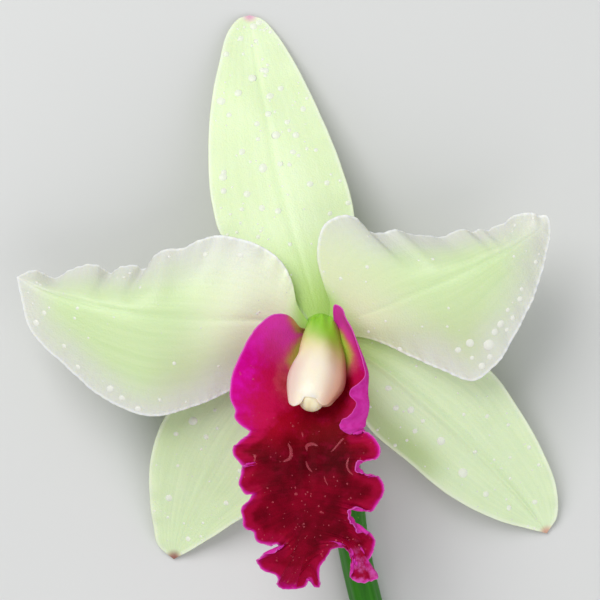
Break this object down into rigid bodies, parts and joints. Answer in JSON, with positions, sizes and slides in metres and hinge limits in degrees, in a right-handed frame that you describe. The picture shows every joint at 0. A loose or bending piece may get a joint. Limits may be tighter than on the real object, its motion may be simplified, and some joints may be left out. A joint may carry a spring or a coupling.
{
  "type": "cattleya orchid flower",
  "caption": "Picked cattleya orchid bloom with its own stalk, lying face up on its sepal tips, with a frilled lip round the column.",
  "frame": {"origin": "on the surface that the flower lies on, under the middle of its outline", "axes": "+X towards the right petal as the viewer sees it, +Y up the dorsal sepal, away from the stalk's cut end, +Z towards the viewer, who looks down on the open flower"},
  "size_m": [0.1252, 0.1516, 0.0443],
  "materials": {
    "sepal": "satin",
    "petal": "satin",
    "lip": "satin",
    "column": "satin",
    "anther_cap": "satin",
    "pollinia": "satin",
    "stalk": "satin"
  },
  "bodies": {
    "root": {"dorsal_sepal": "sepal", "lateral_sepal_left": "sepal", "lateral_sepal_right": "sepal", "petal_left": "petal", "petal_right": "petal", "lip": "lip", "column": "column", "anther_cap": "anther_cap", "pollinia": "pollinia", "stalk": "stalk"}
  },
  "joints": []
}
